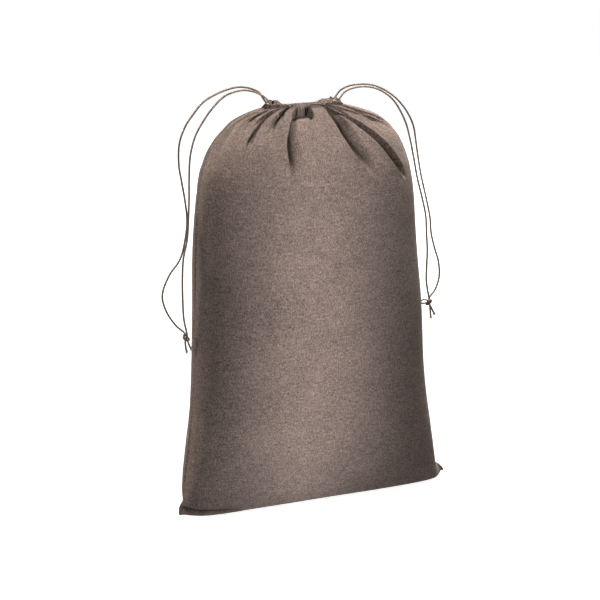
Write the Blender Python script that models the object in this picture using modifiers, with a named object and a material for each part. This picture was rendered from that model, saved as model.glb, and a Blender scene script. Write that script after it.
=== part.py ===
# Cotton drawstring bag: two cloth panels sewn along the sides and the bottom, standing filled,
# with its hemmed top gathered by two cords that leave it at opposite sides and end in knots.
# Metres, +Z up, front towards -Y, origin on the floor under the middle of the bag.
import math
from collections import namedtuple

import bpy
import bmesh
import numpy as np
from mathutils import Vector

MM = 0.001
CLOTH_THICKNESS = 1.0 * MM
SEAM_GAP = 0.35 * MM            # from each panel's edge to the plane of the side and bottom seams
COLUMNS = 38                    # cloth strips across a panel, narrower towards its side seams
COLUMN_CROWDING = 1.12
SECTION_SAMPLES = 721           # points that a section's rounded outline is measured on

# ears: the bag's lower corners, where cloth sticks out flat past the filled body
EAR_START = 0.88                # share of the half width at which an ear begins
EAR_FLATNESS = 0.75
EAR_FULL_REACH = 3.0            # millimetres of ear past which its two layers lie flat together
EAR_LIFT = {"left": 0.0, "right": 3.0 * MM}
EAR_TOP = 20 * MM

# gathered casing: the hem that holds the cords, an oval tunnel along the top of each panel
SLOT_WIDTH = 5.0 * MM           # what is left open between the two casings
CASING_HALF_DEPTH = 4.0 * MM
CASING_HALF_HEIGHT = 6.0 * MM
MOUTH_HALF_HEIGHT = 4.6 * MM    # the same tunnel at its ends
CASING_CENTRE_Y = SLOT_WIDTH / 2 + CASING_HALF_DEPTH
CASING_HEIGHT = 395.0 * MM      # tunnel centre above the floor, at the middle
MOUTH_RISE = 7.0 * MM           # the ends are pulled up by the cords
MOUTH_SLANT = 4.0 * MM          # the lower lip reaches past the upper one
CasingRow = namedtuple("CasingRow", "angle crest_out crest_up")
# the oval from the stitch line over the outside and the top to the hem's edge inside
CASING_ROWS = [CasingRow(*row) for row in (
    (-55, 3.4, 9.3),
    (-12, 0.9, 6.6),
    (32,  0.2, 2.8),
    (76,  0.0, 0.7),
    (120, 0.0, 0.0),
    (172, 0.0, 0.0),
    (230, 0.0, 0.0),
)]
RUCHES = 9
RUCHE_DEPTH = 0.9 * MM
RUCHE_ANGLE = 50                # where round the tunnel the gathers stand out most, in degrees

CORD_DIAMETER = 2.0 * MM
CORD_PAIR_Y = CASING_CENTRE_Y - 0.25 * MM   # the two cords lie side by side, drawn inwards
CORD_SPACING_Y = 1.18 * MM      # each cord's distance from the middle of the pair
RUN_START = 0.975               # share of the half neck width where a hidden run begins
RUN_STEP = 5.0 * MM
TURN_POINTS = 9
STRAND_STEP = 7.0 * MM
TAIL_STEP = 3.5 * MM
ROUTE_SAMPLES = 12              # points read between two route points before spacing them evenly

Section = namedtuple("Section", "half_depth height half_width centre_x squareness "
                     "side_rise ear flatten crest_out crest_up")
# millimetres, from the bottom seam up to the casing's stitch line; the crest columns say how far
# the cloth between two folds puffs out over the stitch line
SECTIONS = [Section(*row) for row in (
    (0.0,    0.0, 136.0,   0.0, 5.0, 0.0, 11.0, 0.0, 0.0, 0.0),
    (12.0,   0.0, 136.0,   0.0, 5.0, 0.0, 11.0, 0.0, 0.0, 0.0),
    (18.5,   0.0, 136.0,   0.0, 4.6, 0.0, 11.0, 0.0, 0.0, 0.0),
    (22.5,   2.2, 136.6,  -0.5, 4.2, 0.0, 10.4, 0.0, 0.0, 0.0),
    (25.5,   8.0, 136.9,  -2.0, 3.8, 0.0,  7.4, 0.0, 0.0, 0.0),
    (28.5,  14.0, 136.9,  -3.4, 3.6, 0.0,  2.2, 0.0, 0.0, 0.0),
    (31.5,  21.0, 136.4,  -4.2, 3.4, 0.0,  0.4, 0.0, 0.0, 0.0),
    (36.0,  34.0, 134.8,  -4.8, 3.2, 0.0,  0.0, 0.0, 0.0, 0.0),
    (43.0,  62.0, 130.4,  -5.4, 3.0, 0.0,  0.0, 0.0, 0.0, 0.0),
    (48.0, 100.0, 125.0,  -5.8, 2.8, 0.0,  0.0, 0.0, 0.0, 0.0),
    (51.0, 145.0, 120.8,  -6.8, 2.8, 0.0,  0.0, 0.0, 0.0, 0.0),
    (52.0, 200.0, 117.6,  -7.9, 2.7, 0.0,  0.0, 0.0, 0.0, 0.0),
    (51.5, 250.0, 114.5,  -9.2, 2.7, 0.0,  0.0, 0.0, 0.0, 0.0),
    (50.0, 288.0, 112.2,  -9.6, 2.6, 0.0,  0.0, 0.0, 0.0, 0.0),
    (48.0, 317.0, 109.4,  -9.8, 2.6, 0.0,  0.0, 0.0, 0.0, 0.0),
    (45.2, 338.0, 105.8, -10.4, 2.6, 0.0,  0.0, 0.0, 0.0, 0.0),
    (41.5, 352.0, 101.4, -10.4, 2.5, 0.0,  0.0, 0.0, 0.0, 0.0),
    (37.0, 363.0,  96.0, -10.3, 2.5, 0.2,  0.0, 0.0, 0.0, 0.0),
    (32.0, 371.0,  90.0, -10.2, 2.5, 0.6,  0.0, 0.0, 0.0, 0.0),
    (26.5, 377.8,  82.5, -10.6, 2.4, 1.6,  0.0, 0.0, 0.5, 1.2),
    (21.0, 382.6,  73.5, -11.4, 2.4, 3.2,  0.0, 0.0, 1.4, 3.6),
    (15.5, 386.2,  61.0, -12.6, 2.3, 5.0,  0.0, 0.1, 3.2, 6.2),
    (10.5, 388.4,  46.0, -13.4, 2.2, 7.0,  0.0, 0.5, 5.4, 7.8),
    (6.5,  389.0,  35.5, -13.5, 2.2, 8.0,  0.0, 1.0, 6.9, 9.4),
)]

NECK_WIDTH = 0.9                # a fold's width at the stitch line, as a share of its own width
NECK_DEPTH = 0.25               # its depth there, as a share of its full depth
DEEPENING = 2.5                 # how fast it deepens below the stitch line
Fold = namedtuple("Fold", "neck_at middle_at foot_at reach depth left_width right_width")
# places and widths as shares of the panel's half width, reach and depth in millimetres
FRONT_FOLDS = [Fold(*row) for row in (
    (-0.76, -0.82, -0.82, 18.0, 3.0, 0.05, 0.05),
    (-0.60, -0.74, -0.66, 36.0, 5.0, 0.05, 0.06),
    (-0.44, -0.44, -0.44, 14.0, 2.0, 0.04, 0.04),
    (-0.24, -0.30, -0.24, 48.0, 6.0, 0.05, 0.11),
    (-0.12, -0.12, -0.12,  9.0, 1.0, 0.08, 0.09),
    (0.38,   0.28,  0.34, 60.0, 8.5, 0.06, 0.11),
    (0.53,   0.54,  0.68, 71.0, 9.5, 0.06, 0.12),
    (0.77,   0.83,  0.89, 28.0, 4.5, 0.05, 0.06),
)]
BACK_FOLDS = [Fold(*row) for row in (
    (-0.74, -0.80, -0.86, 28.0, 4.5, 0.06, 0.05),
    (-0.50, -0.54, -0.62, 66.0, 8.5, 0.12, 0.06),
    (-0.24, -0.24, -0.28, 50.0, 6.5, 0.10, 0.05),
    (0.04,   0.02,  0.05, 26.0, 3.5, 0.05, 0.06),
    (0.26,   0.24,  0.30, 54.0, 7.0, 0.05, 0.10),
    (0.54,   0.56,  0.62, 40.0, 5.5, 0.06, 0.09),
    (0.78,   0.82,  0.86, 24.0, 4.0, 0.05, 0.05),
)]

# route points of the free cords in millimetres, from the casing to the knot
LEFT_STRAND_FRONT = (
    (-48.5, -7.4, 402.2), (-51.0, -7.4, 405.4), (-55.6, -7.0, 410.4), (-64.6, -6.0, 415.2),
    (-74.4, -5.4, 417.3), (-84.4, -5.0, 416.2), (-95.0, -4.6, 412.0), (-106.2, -4.0, 401.6),
    (-115.4, -3.8, 389.6), (-123.2, -3.6, 376.2), (-128.2, -3.4, 358.0), (-129.6, -3.2, 338.0),
    (-130.0, -3.0, 318.0), (-131.0, -2.8, 298.0), (-132.6, -2.6, 278.0), (-136.6, -2.4, 260.0),
    (-138.0, -2.2, 240.0), (-138.0, -2.0, 218.0), (-137.2, -1.8, 200.0), (-134.5, -1.4, 186.2))
LEFT_STRAND_BACK = (
    (-48.5, 7.4, 402.2), (-50.6, 7.4, 405.8), (-55.2, 7.0, 412.4), (-65.4, 6.0, 417.2),
    (-76.1, 5.4, 418.9), (-87.0, 5.0, 417.4), (-100.0, 4.6, 413.2), (-112.4, 4.2, 406.6),
    (-121.6, 4.0, 396.6), (-130.0, 3.8, 385.4), (-136.2, 3.6, 370.0), (-137.4, 3.4, 350.6),
    (-135.0, 3.2, 333.0), (-132.2, 3.0, 315.0), (-130.6, 2.8, 296.0), (-132.8, 2.6, 278.0),
    (-138.2, 2.4, 259.0), (-150.0, 2.2, 243.0), (-157.0, 2.0, 225.0), (-153.6, 1.8, 209.0),
    (-144.6, 1.6, 194.0), (-136.6, 1.4, 186.2))
RIGHT_STRAND_FRONT = (
    (21.5, -5.0, 402.2), (23.4, -5.0, 405.0), (28.0, -5.0, 410.0), (36.6, -4.4, 413.0),
    (47.6, -4.0, 413.9), (58.8, -3.7, 412.1), (69.9, -3.4, 407.2), (80.2, -3.2, 399.0),
    (88.4, -3.0, 387.4), (95.0, -2.8, 374.0), (99.9, -2.6, 357.6), (104.0, -2.4, 340.0),
    (108.6, -2.2, 319.0), (115.0, -2.0, 296.6), (119.0, -2.0, 279.0), (120.2, -1.9, 262.0),
    (121.6, -1.8, 245.0), (121.4, -1.7, 228.0), (121.4, -1.6, 212.0), (124.9, -1.3, 193.7))
RIGHT_STRAND_BACK = (
    (21.5, 5.0, 402.2), (23.2, 5.0, 405.2), (27.4, 5.0, 410.0), (35.4, 4.4, 413.8),
    (44.8, 4.0, 415.0), (54.4, 3.7, 414.8), (64.4, 3.4, 412.6), (76.2, 3.2, 406.8),
    (87.4, 3.0, 398.4), (98.1, 2.8, 385.6), (105.2, 2.6, 371.6), (108.6, 2.4, 354.0),
    (111.6, 2.2, 336.4), (115.4, 2.0, 318.0), (121.2, 2.0, 296.0), (125.6, 1.9, 277.0),
    (127.4, 1.8, 260.0), (131.4, 1.7, 245.0), (136.4, 1.6, 229.0), (137.4, 1.5, 214.0),
    (133.4, 1.4, 201.0), (127.3, 1.3, 193.8))

KNOT_SEGMENTS = 16
KNOT_RINGS = 9
KNOT_TURNS = 3                  # wraps of cord that show round a knot
KNOT_GROOVE = 0.13
FRAYED_SPREAD = 1.7             # how much wider than the cord its frayed end is
Knot = namedtuple("Knot", "centre half_size")
KNOTS = {
    "left_knot": Knot((-134.9, 0.0, 181.2), (3.7, 3.3, 4.7)),
    "right_knot": Knot((125.9, 0.0, 188.8), (3.6, 3.3, 4.6)),
}
TAILS = {
    "left_tail_front": ((-133.4, -1.5, 176.2), (-131.8, -2.4, 171.8), (-129.9, -3.4, 167.6)),
    "left_tail_back": ((-135.5, 1.4, 176.1), (-134.7, 1.6, 169.6), (-133.4, 1.4, 163.2)),
    "right_tail_front": ((126.1, -1.5, 184.0), (126.8, -1.9, 177.0), (127.4, -2.1, 170.4)),
    "right_tail_back": ((128.0, 1.4, 184.2), (130.9, 1.8, 178.6), (134.0, 2.0, 172.8)),
}
SIDE_LOOP = ((121.9, -1.3, 191.3), (119.2, -2.2, 192.4), (116.4, -2.6, 192.0),
             (115.2, -2.2, 190.2), (116.6, -1.6, 188.6), (119.2, -0.9, 188.0), (121.8, -0.4, 188.0))


def clear_scene():
    for thing in list(bpy.data.objects):
        bpy.data.objects.remove(thing, do_unlink=True)


def make_material(name, colour, roughness):
    material = bpy.data.materials.new(name)
    material.use_nodes = True
    shader = material.node_tree.nodes["Principled BSDF"]
    shader.inputs["Base Color"].default_value = (*colour, 1.0)
    shader.inputs["Roughness"].default_value = roughness
    shader.inputs["Metallic"].default_value = 0.0
    material.diffuse_color = (*colour, 1.0)
    return material


def add_object(name, data, material, collection):
    thing = bpy.data.objects.new(name, data)
    thing.data.materials.append(material)
    collection.objects.link(thing)
    return thing


# --- cloth panels ------------------------------------------------------------------------------

def column_places():
    """Shares of the half width, -1 at the left side seam and 1 at the right one."""
    even = np.linspace(-1.0, 1.0, COLUMNS + 1)
    return np.sign(even) * (1.0 - (1.0 - np.abs(even)) ** COLUMN_CROWDING)


def rounded_row(section, across):
    """Half of a rounded rectangle at even steps along the cloth, from side seam to side seam."""
    angle = np.linspace(-math.pi / 2, math.pi / 2, SECTION_SAMPLES)
    power = 2.0 / section.squareness
    x = section.half_width * np.sign(np.sin(angle)) * np.abs(np.sin(angle)) ** power
    depth = section.half_depth * np.abs(np.cos(angle)) ** power
    length = np.concatenate([[0.0], np.cumsum(np.hypot(np.diff(x), np.diff(depth)))])
    share = 2.0 * length / length[-1] - 1.0
    x = np.interp(across, share, x)
    depth = np.interp(across, share, depth)
    straight_x = section.half_width * across
    straight_depth = CASING_CENTRE_Y / MM
    x = x + (straight_x - x) * section.flatten
    depth = depth + (straight_depth - depth) * section.flatten
    return x, depth


def crest_share(folds, across):
    """1 on the cloth between folds, 0 in a fold or at a side seam, along the stitch line."""
    share = 1.0 - np.abs(across) ** 6
    for fold in folds:
        offset = across - fold.neck_at
        width = NECK_WIDTH * np.where(offset < 0.0, fold.left_width, fold.right_width)
        share = share * (1.0 - np.exp(-(offset / width) ** 4))
    return share


def section_points(section, folds, across, side):
    """World points of one row; side is 1 for the front panel and -1 for the back one."""
    x, depth = rounded_row(section, across)
    crest = crest_share(folds, across)
    depth = depth + crest * section.crest_out
    rise = crest * section.crest_up + section.side_rise * np.abs(x / section.half_width) ** 3
    ear = np.clip((np.abs(across) - EAR_START) / (1.0 - EAR_START), 0.0, 1.0) ** 2
    flat = ear * min(1.0, section.ear / EAR_FULL_REACH)
    x = x + np.sign(across) * ear * section.ear
    depth = depth * (1.0 - EAR_FLATNESS * flat)
    world_x = (section.centre_x + side * x) * MM
    world_y = -side * (depth * MM + SEAM_GAP + CLOTH_THICKNESS * flat)
    world_z = (section.height + rise) * MM
    lift = np.where(world_x < 0.0, EAR_LIFT["left"], EAR_LIFT["right"])
    world_z = world_z + ear * lift * max(0.0, 1.0 - section.height * MM / EAR_TOP)
    return np.stack([world_x, world_y, world_z], axis=-1)


def surface_normals(grid):
    along = np.gradient(grid, axis=1)
    up = np.gradient(grid, axis=0)
    normal = np.cross(along, up)
    return normal / np.linalg.norm(normal, axis=-1, keepdims=True)


def fold_depth(fold, across, distance):
    """How far the cloth sinks at a share across and a distance below the stitch line."""
    down = np.clip(distance / (fold.reach * MM), 0.0, 1.0)
    upper = fold.neck_at + (fold.middle_at - fold.neck_at) * np.minimum(2.0 * down, 1.0)
    place = upper + (fold.foot_at - fold.middle_at) * np.maximum(2.0 * down - 1.0, 0.0)
    offset = across - place
    width = np.where(offset < 0.0, fold.left_width, fold.right_width)
    valley = np.exp(-(offset / width) ** 2)
    strength = np.minimum(1.0, NECK_DEPTH + DEEPENING * down) * (1.0 - down ** 3)
    return fold.depth * MM * valley * strength


def body_grid(side, folds, across):
    """Rows from the bottom seam to the stitch line, with the folds that run down from it."""
    grid = np.array([section_points(section, folds, across, side) for section in SECTIONS])
    steps = np.linalg.norm(np.diff(grid, axis=0), axis=-1)
    from_bottom = np.concatenate([np.zeros((1, len(across))), np.cumsum(steps, axis=0)])
    distance = from_bottom[-1] - from_bottom
    sink = sum(fold_depth(fold, across[None, :], distance) for fold in folds)
    sink[-1] = 0.0                       # the stitch line itself stays straight
    sink[:, 0] = 0.0
    sink[:, -1] = 0.0
    return grid - surface_normals(grid) * sink[..., None]


def tunnel_height(share):
    return CASING_HEIGHT + MOUTH_RISE * np.abs(share) ** 4


def casing_grid(side, folds, across):
    """The hem turned over to the inside: an oval tunnel that follows the stitch line."""
    neck = SECTIONS[-1]
    crest = crest_share(folds, across)
    ruche = RUCHE_DEPTH * (0.5 - 0.5 * np.cos(math.pi * RUCHES * (across + 1.0)))
    half_height = CASING_HALF_HEIGHT + (MOUTH_HALF_HEIGHT - CASING_HALF_HEIGHT) * across ** 4
    rows = []
    for row in CASING_ROWS:
        angle = math.radians(row.angle)
        bulge = ruche * (0.5 + 0.5 * math.cos(angle - math.radians(RUCHE_ANGLE)))
        slant = -MOUTH_SLANT * math.sin(angle) * np.sign(across) * np.abs(across) ** 6
        x = neck.centre_x * MM + side * (neck.half_width * MM * across + slant)
        depth = CASING_CENTRE_Y + (CASING_HALF_DEPTH + bulge) * math.cos(angle)
        y = -side * (depth + crest * row.crest_out * MM)
        z = tunnel_height(across) + (half_height + bulge) * math.sin(angle)
        rows.append(np.stack([x, y, z + crest * row.crest_up * MM], axis=-1))
    return np.array(rows)


def build_panel(name, side, folds, material, collection):
    across = column_places()
    grid = np.concatenate([body_grid(side, folds, across), casing_grid(side, folds, across)])
    cloth = bmesh.new()
    corners = [[cloth.verts.new(point) for point in row] for row in grid]
    for lower, upper in zip(corners, corners[1:]):
        for left in range(COLUMNS):
            cloth.faces.new((lower[left], lower[left + 1], upper[left + 1], upper[left]))
    mesh = bpy.data.meshes.new(name)
    cloth.to_mesh(mesh)
    cloth.free()
    mesh.shade_smooth()
    panel = add_object(name, mesh, material, collection)
    thickness = panel.modifiers.new("cloth thickness", "SOLIDIFY")
    thickness.thickness = CLOTH_THICKNESS
    thickness.offset = -1.0
    thickness.use_even_offset = False
    return panel


# --- cords -------------------------------------------------------------------------------------

def smooth_route(points, step):
    """A smooth curve through the route's points, read at even steps."""
    points = [Vector(point) for point in points]
    ends = [2 * points[0] - points[1]] + points + [2 * points[-1] - points[-2]]
    fine = []
    for before, start, end, after in zip(ends, ends[1:], ends[2:], ends[3:]):
        span = (end - start).length
        leaving = (end - before) * (span / ((start - before).length + span))
        arriving = (after - start) * (span / ((after - end).length + span))
        for t in np.linspace(0.0, 1.0, ROUTE_SAMPLES, endpoint=False):
            fine.append((2 * t**3 - 3 * t**2 + 1) * start + (t**3 - 2 * t**2 + t) * leaving
                        + (3 * t**2 - 2 * t**3) * end + (t**3 - t**2) * arriving)
    fine.append(points[-1])
    fine = np.array([tuple(point) for point in fine])
    length = np.concatenate([[0.0], np.cumsum(np.linalg.norm(np.diff(fine, axis=0), axis=1))])
    even = np.linspace(0.0, length[-1], max(3, round(length[-1] / step) + 1))
    return [[np.interp(at, length, fine[:, axis]) for axis in range(3)] for at in even]


def build_tube(name, points, material, collection, end_spread=1.0):
    curve = bpy.data.curves.new(name, "CURVE")
    curve.dimensions = "3D"
    curve.bevel_depth = CORD_DIAMETER / 2
    curve.bevel_resolution = 2
    curve.use_fill_caps = True
    spline = curve.splines.new("POLY")
    spline.points.add(len(points) - 1)
    for index, (corner, point) in enumerate(zip(spline.points, points)):
        corner.co = (*point, 1.0)
        corner.radius = 1.0 + (end_spread - 1.0) * (index / (len(points) - 1)) ** 3
    return add_object(name, curve, material, collection)


def in_metres(points):
    return [[value * MM for value in point] for point in points]


def run_points(direction, cord_y):
    """One cord's hidden stretch: through the front casing, round its far mouth, and back.
    Direction is 1 for the cord that turns back at the right and -1 for the other one."""
    neck = SECTIONS[-1]
    centre = neck.centre_x * MM
    half = neck.half_width * MM
    turn = np.linspace(-math.pi / 2, math.pi / 2, TURN_POINTS)
    front = np.arange(-RUN_START * half, half, RUN_STEP)
    xs = np.concatenate([front, half + cord_y * np.cos(turn), front[::-1]])
    ys = np.concatenate([np.full(len(front), -cord_y), cord_y * np.sin(turn),
                         np.full(len(front), cord_y)])
    zs = tunnel_height(np.minimum(xs, half) / half)
    return [(centre + direction * x, y, z) for x, y, z in zip(xs, ys, zs)]


def build_knot(name, material, collection):
    """A knot as one solid of its outer form, with the grooves between its wraps."""
    knot = KNOTS[name]
    form = bmesh.new()
    bmesh.ops.create_uvsphere(form, u_segments=KNOT_SEGMENTS, v_segments=KNOT_RINGS, radius=1.0)
    for corner in form.verts:
        round_axis = math.atan2(corner.co.y, corner.co.x)
        groove = KNOT_GROOVE * math.cos(round_axis + 2.0 * KNOT_TURNS * corner.co.z)
        waist = 1.0 - groove * (1.0 - corner.co.z ** 2)
        corner.co = Vector((corner.co.x * waist, corner.co.y * waist, corner.co.z))
    bmesh.ops.scale(form, vec=[size * MM for size in knot.half_size], verts=form.verts)
    mesh = bpy.data.meshes.new(name)
    form.to_mesh(mesh)
    form.free()
    mesh.shade_smooth()
    thing = add_object(name, mesh, material, collection)
    thing.location = [value * MM for value in knot.centre]
    return thing


def build_cords(material, collection):
    outer_y = CORD_PAIR_Y + CORD_SPACING_Y
    inner_y = CORD_PAIR_Y - CORD_SPACING_Y
    build_tube("left_cord_run", run_points(1, outer_y), material, collection)
    build_tube("right_cord_run", run_points(-1, inner_y), material, collection)
    strands = {
        "left_strand_front": LEFT_STRAND_FRONT,
        "left_strand_back": LEFT_STRAND_BACK,
        "right_strand_front": RIGHT_STRAND_FRONT,
        "right_strand_back": RIGHT_STRAND_BACK,
    }
    for name, route in strands.items():
        points = smooth_route(in_metres(route), STRAND_STEP)
        build_tube(name, points, material, collection)
    for name in KNOTS:
        build_knot(name, material, collection)
    for name, route in TAILS.items():
        points = smooth_route(in_metres(route), TAIL_STEP)
        build_tube(name, points, material, collection, FRAYED_SPREAD)
    build_tube("right_knot_loop", smooth_route(in_metres(SIDE_LOOP), TAIL_STEP / 2), material, collection)


def main():
    clear_scene()
    collection = bpy.data.collections.new("cotton_gift_bag")
    bpy.context.scene.collection.children.link(collection)
    front_cloth = make_material("front cloth", (0.26, 0.20, 0.167), 0.9)
    back_cloth = make_material("back cloth", (0.26, 0.20, 0.167), 0.9)
    cord = make_material("cord", (0.115, 0.092, 0.078), 0.85)
    build_panel("front_panel", 1, FRONT_FOLDS, front_cloth, collection)
    build_panel("back_panel", -1, BACK_FOLDS, back_cloth, collection)
    build_cords(cord, collection)


main()
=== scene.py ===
# cotton drawstring bag: two cloth panels, a gathered casing round the neck, two knotted cords
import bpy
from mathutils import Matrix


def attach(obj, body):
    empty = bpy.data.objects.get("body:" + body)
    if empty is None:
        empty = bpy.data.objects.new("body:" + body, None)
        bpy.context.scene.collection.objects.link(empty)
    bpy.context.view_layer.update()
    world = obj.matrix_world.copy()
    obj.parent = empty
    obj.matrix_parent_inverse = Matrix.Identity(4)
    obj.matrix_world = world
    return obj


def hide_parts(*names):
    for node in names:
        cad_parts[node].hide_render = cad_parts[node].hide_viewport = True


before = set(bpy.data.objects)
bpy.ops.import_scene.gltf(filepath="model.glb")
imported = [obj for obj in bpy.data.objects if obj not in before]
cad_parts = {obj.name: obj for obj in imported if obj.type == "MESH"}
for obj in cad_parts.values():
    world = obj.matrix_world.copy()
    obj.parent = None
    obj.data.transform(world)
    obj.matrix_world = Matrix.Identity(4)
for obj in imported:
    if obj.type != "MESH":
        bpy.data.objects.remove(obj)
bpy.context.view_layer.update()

import math

import bpy
import numpy as np

mm = 0.001
scene = bpy.context.scene
print("frame loaded")


# small helpers for meshes

def softStep(x):
    x = np.clip(x, 0.0, 1.0)
    return x * x * (3.0 - 2.0 * x)


def bell(x):
    return np.exp(-x * x)


def hermite(t, start, leaving, end, arriving):
    return ((2 * t**3 - 3 * t**2 + 1) * start + (t**3 - 2 * t**2 + t) * leaving
            + (3 * t**2 - 2 * t**3) * end + (t**3 - t**2) * arriving)


def smoothRows(table, at):
    # a table's columns read at new places, its first column being the place; never overshoots
    table = np.asarray(table, float)
    place, value = table[:, 0], table[:, 1:]
    step = np.diff(place)[:, None]
    slope = np.diff(value, axis=0) / step
    before, after = slope[:-1], slope[1:]
    turning = before * after <= 0.0
    weight = 2.0 * step[1:] + step[:-1], step[1:] + 2.0 * step[:-1]
    safeBefore, safeAfter = np.where(turning, 1.0, before), np.where(turning, 1.0, after)
    middle = (weight[0] + weight[1]) / (weight[0] / safeBefore + weight[1] / safeAfter)
    lean = np.vstack([slope[:1], np.where(turning, 0.0, middle), slope[-1:]])
    at = np.clip(np.asarray(at, float), place[0], place[-1])
    i = np.clip(np.searchsorted(place, at, side="right") - 1, 0, len(step) - 1)
    t = ((at - place[i]) / step[i, 0])[:, None]
    return hermite(t, value[i], step[i] * lean[i], value[i + 1], step[i] * lean[i + 1])


def unevenness(x, y, seed):
    # smooth random hills between -1 and 1, one for each unit of x and y
    size = 64
    dice = np.random.default_rng(seed).uniform(-1.0, 1.0, (size, size))
    x, y = np.broadcast_arrays(x, y)
    left, low = np.floor(x).astype(int), np.floor(y).astype(int)
    u, v = softStep(x - left), softStep(y - low)
    corner = lambda i, j: dice[(left + i) % size, (low + j) % size]
    return ((corner(0, 0) * (1 - u) + corner(1, 0) * u) * (1 - v)
            + (corner(0, 1) * (1 - u) + corner(1, 1) * u) * v)


def unit(v):
    return v / np.maximum(np.linalg.norm(v, axis=-1, keepdims=True), 1e-12)


def makePiece(name, points, faces, materials):
    mesh = bpy.data.meshes.new(name)
    mesh.from_pydata([tuple(p) for p in points], [], faces)
    mesh.shade_smooth()
    for material in materials:
        mesh.materials.append(material)
    piece = bpy.data.objects.new(name, mesh)
    scene.collection.objects.link(piece)
    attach(piece, "root")
    return piece


# shader nodes written as sums

class Tone:
    # a socket that can be added, taken away and multiplied
    def __init__(self, nodes, socket):
        self.nodes, self.socket = nodes, socket

    def sum(self, operation, first, second):
        return self.nodes.add("ShaderNodeMath", {"operation": operation}, {0: first, 1: second})

    def __add__(self, other):
        return self.sum("ADD", self, other)

    def __radd__(self, other):
        return self.sum("ADD", other, self)

    def __sub__(self, other):
        return self.sum("SUBTRACT", self, other)

    def __rsub__(self, other):
        return self.sum("SUBTRACT", other, self)

    def __mul__(self, other):
        return self.sum("MULTIPLY", self, other)

    def __rmul__(self, other):
        return self.sum("MULTIPLY", other, self)


class Nodes:
    # the nodes of a material, or of a world
    def __init__(self, name, kind=bpy.data.materials, shader="Principled BSDF"):
        self.owner = kind.new(name)
        self.owner.use_nodes = True
        self.tree = self.owner.node_tree
        self.shader = self.tree.nodes[shader]

    def add(self, kind, settings=None, values=None, out=0):
        node = self.tree.nodes.new(kind)
        for key, value in (settings or {}).items():
            setattr(node, key, value)
        for key, value in (values or {}).items():
            self.put(node.inputs[key], value)
        return Tone(self, node.outputs[out])

    def put(self, socket, value):
        if isinstance(value, Tone):
            self.tree.links.new(value.socket, socket)
        elif isinstance(value, tuple) and len(value) == 3 and socket.type == "RGBA":
            socket.default_value = (*value, 1.0)
        else:
            socket.default_value = value

    def noise(self, at, scale, detail, roughness):
        return self.add("ShaderNodeTexNoise", {}, {"Vector": at, "Scale": scale,
                                                   "Detail": detail, "Roughness": roughness})

    def vector(self, x, y, z):
        return self.add("ShaderNodeCombineXYZ", {}, {"X": x, "Y": y, "Z": z})

    def mix(self, share, first, second):
        return self.add("ShaderNodeMix", {"data_type": "RGBA", "clamp_factor": True},
                        {0: share, 6: first, 7: second}, out=2)

    def clamp(self, value, low, high):
        return self.add("ShaderNodeMapRange", {"clamp": True},
                        {"Value": value, "From Min": low, "From Max": high})

    def finish(self, **sockets):
        for key, value in sockets.items():
            self.put(self.shader.inputs[key.replace("_", " ")], value)
        return self.owner


# camera and light

view = {
    "place": (-0.58475, -1.40691, 0.64091),
    "down": 16.0,        # degrees below level
    "turn": -22.0,       # degrees round from straight on
    "lens": 96.0,
    "sensor": 36.0,
}


def addCamera(s):
    data = bpy.data.cameras.new("camera")
    data.lens = s["lens"]
    data.sensor_width = s["sensor"]
    camera = bpy.data.objects.new("camera", data)
    camera.location = s["place"]
    camera.rotation_euler = (math.radians(90.0 - s["down"]), 0.0, math.radians(s["turn"]))
    scene.collection.objects.link(camera)
    scene.camera = camera


studio = {
    "floorColour": (0.9, 0.9, 0.9),
    "floorRough": 0.9,
    "floorGlow": 0.87,                    # keeps the paper white beyond the lamps' reach
    "floorSize": 30.0,
    "floorHeight": -0.0004,
    "backdrop": 1.0,                      # how white the surroundings look
    "air": 0.15,                          # and how much light they give
    # name: place, what it points at, width, height, watts, opening in degrees, colour
    "lamps": {
        "strip": ((-0.022, -1.30, 0.025), (-0.022, 0.0, 0.025), 0.06, 0.73, 0.28, 10.0,
                  (1.0, 1.0, 1.0)),
        "neckLeft": ((-0.085, -0.005, 1.25), (-0.085, -0.005, 0.39), 0.14, 0.03, 0.056, 9.0,
                     (1.0, 0.96, 0.92)),
        "neckRight": ((0.085, -0.005, 1.25), (0.085, -0.005, 0.39), 0.12, 0.03, 0.16, 16.0,
                      (1.0, 0.96, 0.92)),
        "side": ((1.1, -1.5, 0.6), (0.0, 0.0, 0.25), 0.6, 0.8, 3.4, 180.0, (1.0, 1.0, 1.0)),
        "corner": ((-0.75, -1.3, 0.25), (-0.11, -0.03, 0.02), 0.12, 0.12, 0.02, 14.0,
                   (1.0, 1.0, 1.0)),
        "backLeft": ((-1.35, 1.35, 0.8), (0.0, 0.0, 0.25), 0.5, 0.8, 20.0, 180.0,
                     (1.0, 0.88, 0.76)),
        "backRight": ((1.35, 1.35, 0.8), (0.0, 0.0, 0.25), 0.5, 0.8, 22.0, 180.0,
                      (1.0, 0.97, 0.94)),
    },
}


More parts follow.
